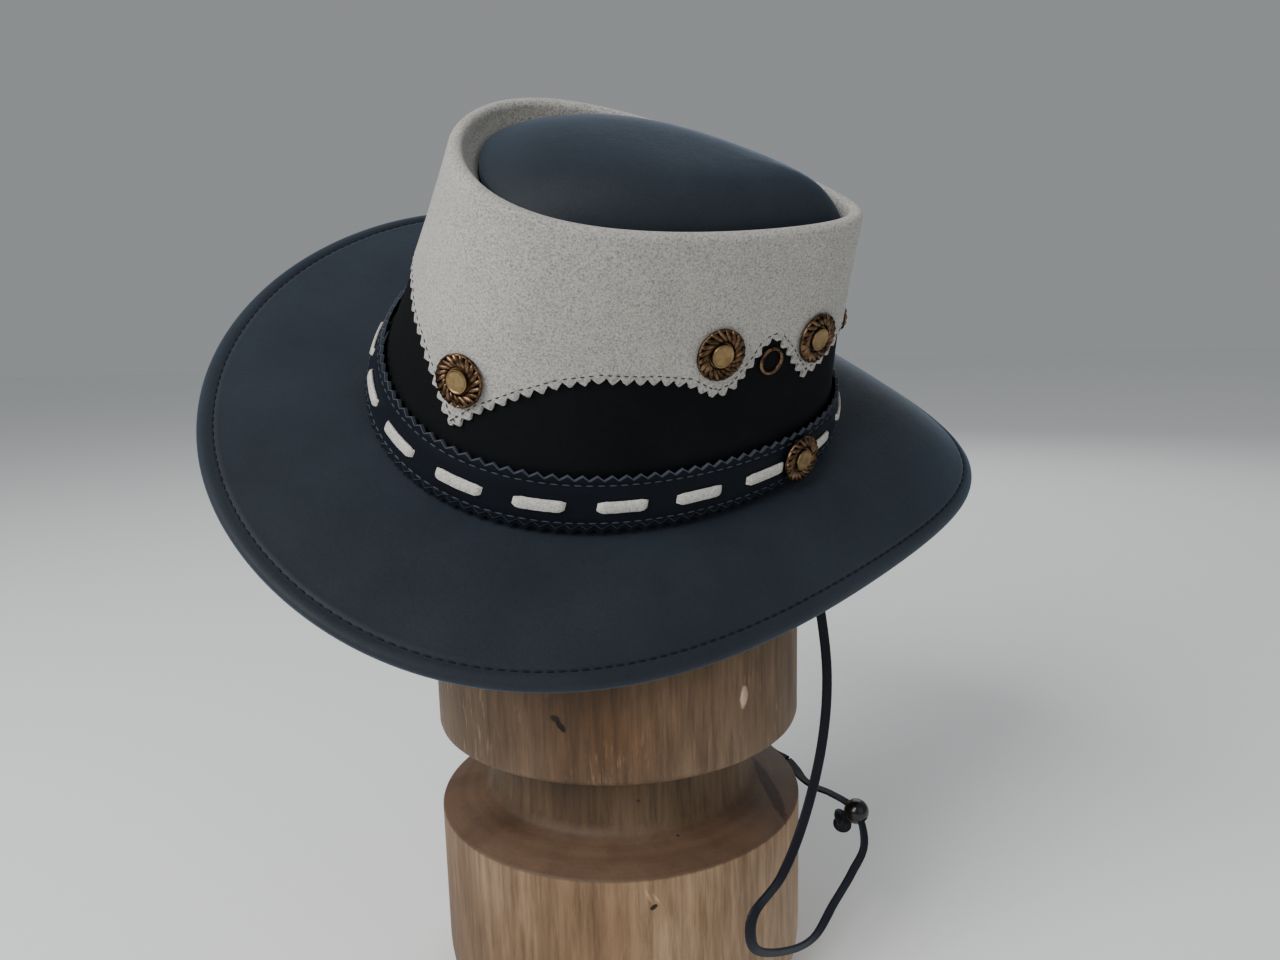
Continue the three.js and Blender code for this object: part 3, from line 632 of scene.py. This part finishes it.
knotMesh = sweepPath(knotPoints, [point + Vector((0, 0, 0.3)) for point in knotPoints], knotSection, True)
knotMatrix = pointedAt(beadMiddle + Vector(lace["knotBeside"]), Vector((0.3, -0.8, 0.2)))
knot = finishPiece(knotMesh, "lace_knot", [blackLace], partMatrix @ knotMatrix, ["cord_knot"])
print("chin lace", round(runs[-1]), "mm")

# Brim
brim = {
    "length": 176, "width": 144, "forward": 5, "egg": 0.36, "square": 0.022, "leather": 3,
    "drop": {"around": -11.5, "front": -12, "corners": 2}, "droop": 2.7, "steps": 240,
    "roll": [(9.0, 0.05), (7.6, 0.15), (6.9, -0.3), (6.5, -0.5), (6.1, -0.25), (5.3, 0.35), (4.0, 0.68),
             (2.2, 0.62), (0.9, 0.25), (0.2, -0.6), (0.0, -1.5)],
    "rollFrom": 10.5,
    "stitchIn": 6.5, "stitchPitch": 4.4, "stitchLength": 3.3, "stitchWidth": 0.85, "stitchSink": 0.35,
}


def brimEdge(turn):
    square = 1 + brim["square"] * math.cos(4 * turn)
    point = eggRing(turn, 0, brim["length"] * square, brim["width"] * square, brim["egg"])
    point.x += brim["forward"]
    drop = brim["drop"]
    point.z = drop["around"] + drop["front"] * math.cos(turn) + drop["corners"] * math.cos(3 * turn)
    return point


def brimPoint(turn, share):
    edge = brimEdge(turn)
    point = crownPoint(turn, 0).lerp(edge, share)
    point.z = edge.z * max(share, 0) ** brim["droop"]
    return point


brimTurns = ringSteps(brim["steps"])
brimWidths = [(brimEdge(turn) - crownPoint(turn, 0)).length for turn in brimTurns]
inside = [0.0, 0.06, 0.14, 0.24, 0.35, 0.46, 0.57, 0.68, 0.78, 0.87, 0.94, 1.0]
brimRows = [("hole", 0, 0)] + [("in", share, 0) for share in inside]
brimRows += [("roll", away, lift) for away, lift in brim["roll"]]
brimRows += [("roll", away, -brim["leather"] - lift) for away, lift in reversed(brim["roll"][:-1])]
brimRows += [("in", share, -brim["leather"]) for share in reversed(inside)] + [("hole", 0, -brim["leather"])]


def placeBrim(i, spec):
    kind, value, lift = spec
    share = {"hole": -crown["leather"] / brimWidths[i],
             "in": value * (1 - brim["rollFrom"] / brimWidths[i]),
             "roll": 1 - value / brimWidths[i]}[kind]
    point = brimPoint(brimTurns[i], share)
    return point + Vector((0, 0, lift))


finishPiece(sweepRing(brimTurns, brimRows, placeBrim), "brim_leather", [blackLeather],
            replaced=["brim"], sharpAngle=60)


def brimSeat(turn, lift):
    width = (brimEdge(turn) - crownPoint(turn, 0)).length
    share = 1 - brim["stitchIn"] / width
    ahead = brimPoint(turn + 0.01, share) - brimPoint(turn - 0.01, share)
    return brimPoint(turn, share) + Vector((0, 0, lift)), ahead, Vector((0, 0, 1))


stitchTurns = evenly(lambda turn: brimSeat(turn, 0)[0], brim["stitchPitch"], 720)
seats = [brimSeat(turn, -brim["stitchSink"]) for turn in stitchTurns]
seats += [brimSeat(turn, brim["stitchSink"] - brim["leather"]) for turn in stitchTurns]
finishPiece(stitchLine(seats, brim["stitchLength"], brim["stitchWidth"]), "brim_stitches", [blackThread])
print("brim made")

# Crown wall, from just above the brim to the rim
wallShares = [0.0028] + [k / 12 for k in range(1, 13)]
wallRows = [("out", share) for share in wallShares] + [("in", share) for share in reversed(wallShares)]
wallTurns = ringSteps(224)


def placeWall(i, spec):
    side, share = spec
    if side == "out":
        return crownPoint(wallTurns[i], share)
    point = offCrown(wallTurns[i], share, -crown["leather"])
    if share < 0.01:
        point.z = crownPoint(wallTurns[i], share).z
    return point


finishPiece(sweepRing(wallTurns, wallRows, placeWall), "crown_wall", [wallLeather],
            replaced=["crown_side"], sharpAngle=60)

# Suede overlay. Its edge gives the height, as a share of the crown's, at degrees from its middle
overlay = {
    "gap": 0.3, "suede": 1.2, "rim": 3.0, "rimDrop": 7, "rimLean": 0.8, "rimLeanBack": 4.5,
    "seamDrop": 3.3, "turn": -16,
    "toothPitch": 5.3, "toothDepth": 2.5, "perTooth": 8,
    "stitchIn": 2.5, "stitchPitch": 3.2, "stitchLength": 1.9, "stitchWidth": 0.55,
    "edge": [(0, 0.355), (7.3, 0.43), (12.9, 0.495), (18.4, 0.54), (23.9, 0.55), (30.7, 0.525),
             (36.1, 0.505), (40.8, 0.48), (45.9, 0.46), (51.4, 0.448), (55.1, 0.505), (58.8, 0.57),
             (63.4, 0.635), (67, 0.625), (69.3, 0.572), (72, 0.525), (74.1, 0.485), (77.5, 0.465),
             (80.4, 0.475), (85.4, 0.52), (92.8, 0.54), (105.6, 0.548), (113.9, 0.522), (122.1, 0.461),
             (126.3, 0.416), (130.4, 0.37), (135.7, 0.275), (139, 0.306), (141.6, 0.342), (147.5, 0.407),
             (154.3, 0.462), (163, 0.5), (168, 0.53), (180, 0.545)],
}


# The overlay's middle is turned from the crown's front, and the turn fades out towards the back
def overlayDegrees(degrees):
    side = -1 if degrees < 0 else 1
    return overlay["turn"] + degrees * (180 - side * overlay["turn"]) / 180


def rimLean(turn):
    return overlay["rimLean"] + overlay["rimLeanBack"] * ((1 - math.cos(turn)) / 2) ** 3


def edgeShare(turn):
    wrapped = math.degrees(math.atan2(math.sin(turn), math.cos(turn)))
    side = -1 if wrapped < overlay["turn"] else 1
    degrees = side * (wrapped - overlay["turn"]) * 180 / (180 - side * overlay["turn"])
    rows = overlay["edge"]
    after = next((k for k in range(1, len(rows)) if rows[k][0] >= degrees - 1e-6), len(rows) - 1)
    low, high = rows[after - 1], rows[after]
    return lerp(low[1], high[1], (degrees - low[0]) / (high[0] - low[0]))


def edgePoint(turn):
    return crownPoint(turn, edgeShare(turn))


toothTurns = evenly(edgePoint, overlay["toothPitch"] / overlay["perTooth"])
toothTurns = toothTurns[: len(toothTurns) // overlay["perTooth"] * overlay["perTooth"]]
toothWave = [0.0, 0.3, 0.6, 0.87, 1.0, 0.87, 0.6, 0.3]


def edgeFrame(turn):
    along = edgePoint(turn + 0.004) - edgePoint(turn - 0.004)
    normal = crownNormal(turn, edgeShare(turn))
    down = along.cross(normal).normalized()
    return along.normalized(), down if down.z < 0 else -down, normal


overlayShares = [edgeShare(turn) for turn in toothTurns]
overlayDowns = [edgeFrame(turn)[1] for turn in toothTurns]
outer = overlay["gap"] + overlay["suede"]
overlayRows = [("edge", 0.0, overlay["gap"]), ("edge", 0.0, outer - 0.35), ("edge", -0.3, outer)]
overlayRows += [("wall", share, outer) for share in (0.06, 0.14, 0.24, 0.36, 0.5, 0.65, 0.8, 0.92)]
overlayRows += [("rim", degrees, overlay["rim"]) for degrees in range(0, 181, 20)]
overlayRows += [("deep", 0.5, 0.0), ("deep", 1.0, 0.0), ("deep", 1.0, -overlay["suede"])]
overlayRows += [("rim", degrees, overlay["rim"] - overlay["suede"]) for degrees in (170, 120, 70, 20)]
overlayRows += [("wall", share, overlay["gap"]) for share in (0.85, 0.6, 0.35, 0.15, 0.05)]


def placeOverlay(i, spec):
    kind, value, offset = spec
    turn = toothTurns[i]
    if kind == "edge":
        tooth = toothWave[i % overlay["perTooth"]]
        jag = 0.45 * noise.noise(Vector((i * 0.9, 3.1, 0)))
        length = overlay["toothDepth"] * (tooth - 0.5) + value + jag
        return offCrown(turn, overlayShares[i], offset) + overlayDowns[i] * length
    if kind == "wall":
        wave = 0.16 * noise.noise(Vector((7 * math.cos(turn), 7 * math.sin(turn), 9 * value)))
        return offCrown(turn, lerp(overlayShares[i], 1, value), offset + (wave if offset > 1 else 0))
    away = overlay["rim"] - outer
    if kind == "rim":
        angle = math.radians(value)
        return rimPoint(turn, away - offset * math.cos(angle), offset * math.sin(angle))
    deep = 2 * overlay["rim"] - outer + rimLean(turn) * value
    return rimPoint(turn, deep + offset, -overlay["rimDrop"] * value)


finishPiece(sweepRing(toothTurns, overlayRows, placeOverlay), "suede_overlay", [paleSuede],
            replaced=["overlay"], sharpAngle=55)


def overlaySeat(turn):
    along, down, normal = edgeFrame(turn)
    place = offCrown(turn, edgeShare(turn), outer + 0.02) - down * overlay["stitchIn"]
    return place, along, normal


seats = [overlaySeat(turn) for turn in evenly(edgePoint, overlay["stitchPitch"])]
finishPiece(stitchLine(seats, overlay["stitchLength"], overlay["stitchWidth"]), "overlay_stitches",
            [darkThread])
print("overlay made")

# Domed plate in the top
plate = {"leather": 2.4, "dome": 17, "power": 3.6, "forward": 29, "rings": 18}
inward = 2 * overlay["rim"] - overlay["suede"]
plateTurns = ringSteps(200)
plateRim = [rimPoint(turn, inward + rimLean(turn), -overlay["seamDrop"]) for turn in plateTurns]
plateMiddle = sum(plateRim, Vector()) / len(plateRim) + Vector((plate["forward"], 0, 0))
shares = [math.sin(math.pi / 2 * k / plate["rings"]) for k in range(plate["rings"], -1, -1)]
plateRows = [(share, 0) for share in shares] + [(share, plate["leather"]) for share in reversed(shares)]


def placePlate(i, spec):
    share, drop = spec
    point = plateMiddle.lerp(plateRim[i], share)
    point.z += plate["dome"] * (1 - share ** plate["power"]) - drop
    return point


finishPiece(sweepRing(plateTurns, plateRows, placePlate), "crown_plate", [blackLeather],
            replaced=["crown_top"], sharpAngle=60)
print("crown made")

# Hatband with pinked edges: the strip, and a dark toothed sheet below it that stands in for the teeth's
# shadow on the brim
band = {
    "height": 24, "inside": 1.8, "outside": 3.4, "lift": 0.6, "toothPitch": 6.0, "toothDepth": 1.9,
    "toothWave": [0.0, 0.5, 1.0, 0.5], "shadowShows": 2.2,
    "stitchLow": 5.4, "stitchHigh": 20.4, "stitchPitch": 4.6, "stitchLength": 3.2, "stitchWidth": 0.6,
}
perTooth = len(band["toothWave"])
bandMiddle = band["height"] / 2 / crown["height"]


def bandLine(turn):
    return offCrown(turn, bandMiddle, band["outside"])


bandTurns = evenly(bandLine, band["toothPitch"] / perTooth)
bandTurns = bandTurns[: len(bandTurns) // perTooth * perTooth]


def placeBand(i, spec):
    height, offset, tooth = spec
    wave = band["toothDepth"] * band["toothWave"][i % perTooth] * tooth
    return offCrown(bandTurns[i], (height + wave) / crown["height"], offset)


# Rows of height, distance from the crown and share of a tooth. The cut edges are the first and the top rows,
# in the lighter edge leather that partly stands for a painted highlight
low, high = band["lift"] + band["shadowShows"], band["height"]
near, far = band["inside"], band["outside"]
bandRows = [(low, 2.6, 1), (low, far - 0.15, 1), (low + 0.3, far, 1), (low + 2.1, far, 0),
            (4.9, far + 0.1, 0), (5.2, far - 0.1, 0), (5.6, far - 0.1, 0), (5.9, far + 0.1, 0),
            (8, far + 0.05, 0), (12, far, 0), (16, far, 0), (19.8, far + 0.05, 0), (20.2, far - 0.15, 0),
            (20.6, far - 0.15, 0), (21, far + 0.05, 0), (high - 2.1, far, 0), (high - 0.3, far, -1),
            (high, far - 0.2, -1), (high, near + 0.1, -1), (high - 2.5, near, 0), (15, near, 0),
            (9.2, near, 0), (8.4, 2.6, 0), (5, 2.6, 0)]
finishPiece(sweepRing(bandTurns, bandRows, placeBand, cutRows=(1, 2, 17, 18)), "hatband_strip",
            [bandLeather, cutEdgeHighlight], replaced=["hatband"], sharpAngle=50)
# Painted shadow: this dark sheet shows below the strip's teeth in place of their shadow on the brim
under = band["lift"]
shadowSheetRows = [(under, near, 1), (under, 2.4, 1), (under + 2.2, 2.5, 0), (6, 2.5, 0), (8, 2.4, 0), (8, near, 0),
             (5, near, 0), (under + 2.2, near, 0)]
finishPiece(sweepRing(bandTurns, shadowSheetRows, placeBand), "hatband_teeth_shadow", [bandLeather],
            sharpAngle=50)


def bandSeat(turn, height, offset):
    share = height / crown["height"]
    along = offCrown(turn + 0.01, share, offset) - offCrown(turn - 0.01, share, offset)
    return offCrown(turn, share, offset), along, crownNormal(turn, share)


seats = []
for height in (band["stitchLow"], band["stitchHigh"]):
    for turn in evenly(lambda turn: offCrown(turn, height / crown["height"], far), band["stitchPitch"]):
        seats.append(bandSeat(turn, height, far))
finishPiece(stitchLine(seats, band["stitchLength"], band["stitchWidth"]), "band_stitches", [cutEdgeHighlight])

# Suede lace woven through the band
bandLace = {
    "stitches": 18, "stitchPitch": 34.3, "perStitch": 28, "start": 88, "width": 4.5, "thickness": 1.2,
    "outHalf": 0.285, "slope": 0.075, "outOffset": 4.15, "inOffset": 0.95,
}
laceTurns = evenly(bandLine, bandLace["stitchPitch"] / bandLace["perStitch"])
perStitch = len(laceTurns) / bandLace["stitches"]
startStep = min(range(len(laceTurns)), key=lambda i: abs(laceTurns[i] - math.radians(bandLace["start"])))
laceSection = [(-0.5, -0.3), (-0.42, -0.5), (0, -0.5), (0.42, -0.5), (0.5, -0.3), (0.5, 0.3), (0.42, 0.5),
               (0, 0.56), (-0.42, 0.5), (-0.5, 0.3)]


def placeBandLace(i, spec):
    across, up = spec
    phase = ((i - startStep) / perStitch) % 1.0
    away = min(phase, 1 - phase)
    sunk = smoothStep(bandLace["outHalf"] - 0.01, bandLace["outHalf"] + bandLace["slope"], away)
    middle = lerp(bandLace["outOffset"], bandLace["inOffset"], sunk)
    narrow = 1 - 0.3 * smoothStep(bandLace["outHalf"] - 0.05, bandLace["outHalf"] + 0.02, away)
    fray = 0.12 * noise.noise(Vector((i * 0.55, across * 9, 0)))
    height = band["height"] / 2 + (across * bandLace["width"] + fray) * narrow
    return offCrown(laceTurns[i], height / crown["height"], middle + up * bandLace["thickness"])


finishPiece(sweepRing(laceTurns, laceSection, placeBandLace), "band_suede_lace", [laceSuede],
            replaced=["band_lace"], sharpAngle=70)
print("hatband made")

# Conchos: a dished disc, a ring of twisted rope lobes, and a worn flat cap
concho = {
    "radius": 10.5, "capRadius": 4.75, "steps": 48, "capSteps": 40, "overlayLift": 1.8, "bandLift": 4.9,
    "lobes": 20, "lobeRing": 7.75, "lobeLength": 6.6, "lobeWidth": 2.3, "lobeHeight": 1.25, "lobeSlant": 52,
    "overlayPlaces": [("front", 0, 0.49), ("front_right", 48.3, 0.592), ("side_right", 79.6, 0.618),
                      ("back_right", 137.3, 0.44), ("front_left", -48.3, 0.592),
                      ("side_left", -79.6, 0.618), ("back_left", -137.3, 0.44)],
    "bandPlace": ("band", 40, bandMiddle),
}
rimAt, capAt = concho["radius"], concho["capRadius"]
dishProfile = [(0, 0), (rimAt - 0.6, 0), (rimAt - 0.1, 0.35), (rimAt, 0.9), (rimAt - 0.2, 1.35),
               (rimAt - 0.6, 1.5), (rimAt - 1, 1.3), (rimAt - 1.4, 1.0), (5.6, 0.9), (5.2, 1.3), (0, 1.3)]
capProfile = [(0, 1.5), (capAt - 0.25, 1.5), (capAt, 1.8), (capAt, 2.3), (capAt - 0.2, 2.65),
              (capAt - 0.55, 2.7), (capAt - 0.85, 2.5), (capAt - 1.15, 2.42), (1.8, 2.5), (0, 2.52)]


def makeConcho(name, degrees, share, offset):
    seat = wallSeat(degrees, share, offset)
    mesh = spinProfile(dishProfile, concho["steps"])
    for k in range(concho["lobes"]):
        turned = Matrix.Rotation(2 * math.pi * k / concho["lobes"], 4, "Z")
        lobe = (turned @ Matrix.Translation((concho["lobeRing"], 0, concho["lobeHeight"]))
                @ Matrix.Rotation(math.radians(90 - concho["lobeSlant"]), 4, "Z")
                @ Matrix.Diagonal((concho["lobeLength"] / 2, concho["lobeWidth"] / 2,
                                   concho["lobeHeight"], 1)))
        bmesh.ops.create_uvsphere(mesh, u_segments=14, v_segments=8, radius=1, matrix=lobe)
    finishPiece(mesh, "rope_concho_" + name, [agedBrass],
                hatMatrix @ seat, ["concho_" + name])
    finishPiece(spinProfile(capProfile, concho["capSteps"]), "concho_cap_" + name, [discBrass],
                hatMatrix @ seat, ["cap_" + name])


for name, degrees, share in concho["overlayPlaces"]:
    makeConcho(name, overlayDegrees(degrees), share, concho["overlayLift"])
name, degrees, share = concho["bandPlace"]
makeConcho(name, degrees, share, concho["bandLift"])

# Vent eyelets, with the wall's dark leather left whole behind them, standing in for the shade inside the vent
# holes
eyelet = {"steps": 36, "places": [("right", 64, 0.548), ("left", -65.2, 0.545)]}
eyeletProfile = [(4.3, -2.6), (4.75, -2.6), (4.75, 0.3), (5.5, 0.3), (5.9, 0.5), (5.95, 0.8), (5.7, 1.1),
                 (5.2, 1.25), (4.7, 1.15), (4.4, 0.8), (4.3, 0.3)]
for name, degrees, share in eyelet["places"]:
    seat = wallSeat(overlayDegrees(degrees), share, 0)
    finishPiece(spinProfile(eyeletProfile, eyelet["steps"], True), "vent_" + name, [agedBrass],
                hatMatrix @ seat, ["eyelet_" + name])
print("trim made")

# Turned stand: profile from the base's middle to the hidden post's top
stand = {"steps": 128, "lowerRadius": 84, "neckRadius": 61, "upperRadius": 83, "drumTop": 181.4,
         "postRadius": 24, "headSteps": 10}
lower, neck, upper, post = (stand[key] for key in ("lowerRadius", "neckRadius", "upperRadius", "postRadius"))
drumTop = stand["drumTop"]
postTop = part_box("stand")[1][2] / mm - post
standProfile = [(0, 0), (lower - 11, 0), (lower - 7, 1.2), (lower - 3.4, 5), (lower - 1.1, 12),
                (lower - 0.2, 19), (lower, 24), (lower, 86.2), (lower - 0.3, 87), (lower - 1, 87.5),
                (75, 90.3), (67, 92.9), (neck + 3, 94.2), (neck + 1.3, 96), (neck + 0.5, 99), (neck, 106),
                (neck, 115), (neck + 0.3, 122), (neck + 1, 125.2), (neck + 2.5, 125.8), (upper - 3.5, 126),
                (upper - 1.7, 126.5), (upper - 0.5, 127.6), (upper, 129.2), (upper, drumTop - 3),
                (upper - 0.8, drumTop - 1), (upper - 3, drumTop), (post, drumTop), (post, postTop)]
headAngles = [math.pi / 2 * k / stand["headSteps"] for k in range(1, stand["headSteps"])]
standProfile += [(post * math.cos(angle), postTop + post * math.sin(angle)) for angle in headAngles]
standProfile += [(0, postTop + post)]
finishPiece(spinProfile(standProfile, stand["steps"]), "wooden_stand", [turnedWood],
            partMatrix, ["stand"], sharpAngle=35)
print("stand made")

# Floor, light and background
floorMesh = bmesh.new()
bmesh.ops.create_grid(floorMesh, x_segments=1, y_segments=1, size=6)
floorData = bpy.data.meshes.new("floor")
floorMesh.to_mesh(floorData)
floorMesh.free()
floor = addObject("floor", floorData)
paper, nodes, links = newMaterial("floor paper")
nodes["Principled BSDF"].inputs["Base Color"].default_value = (0.95, 0.96, 0.95, 1)
nodes["Principled BSDF"].inputs["Roughness"].default_value = 0.9
floorData.materials.append(paper)
world = bpy.data.worlds.new("studio")
world.use_nodes = True
world.node_tree.nodes["Background"].inputs["Color"].default_value = (0.74, 0.77, 0.8, 1)
world.node_tree.nodes["Background"].inputs["Strength"].default_value = 0.37
bpy.context.scene.world = world
lamps = [
    {"name": "window", "place": (-1.0, -1.0, 1.25), "aim": (0, 0, 0.22), "size": 1.1, "power": 34.5},
    {"name": "fill", "place": (0.9, -1.2, 0.9), "aim": (0, 0, 0.2), "size": 1.4, "power": 2.4},
    {"name": "back", "place": (0.5, 1.4, 1.2), "aim": (0, 0, 0.3), "size": 1.2, "power": 7},
]
for lamp in lamps:
    light = bpy.data.lights.new(lamp["name"], "AREA")
    light.size = lamp["size"]
    light.energy = lamp["power"]
    lightObject = addObject(lamp["name"], light)
    lightObject.location = lamp["place"]
    aim = Vector(lamp["aim"]) - Vector(lamp["place"])
    lightObject.rotation_euler = aim.to_track_quat("-Z", "Y").to_euler()
print("stage made")
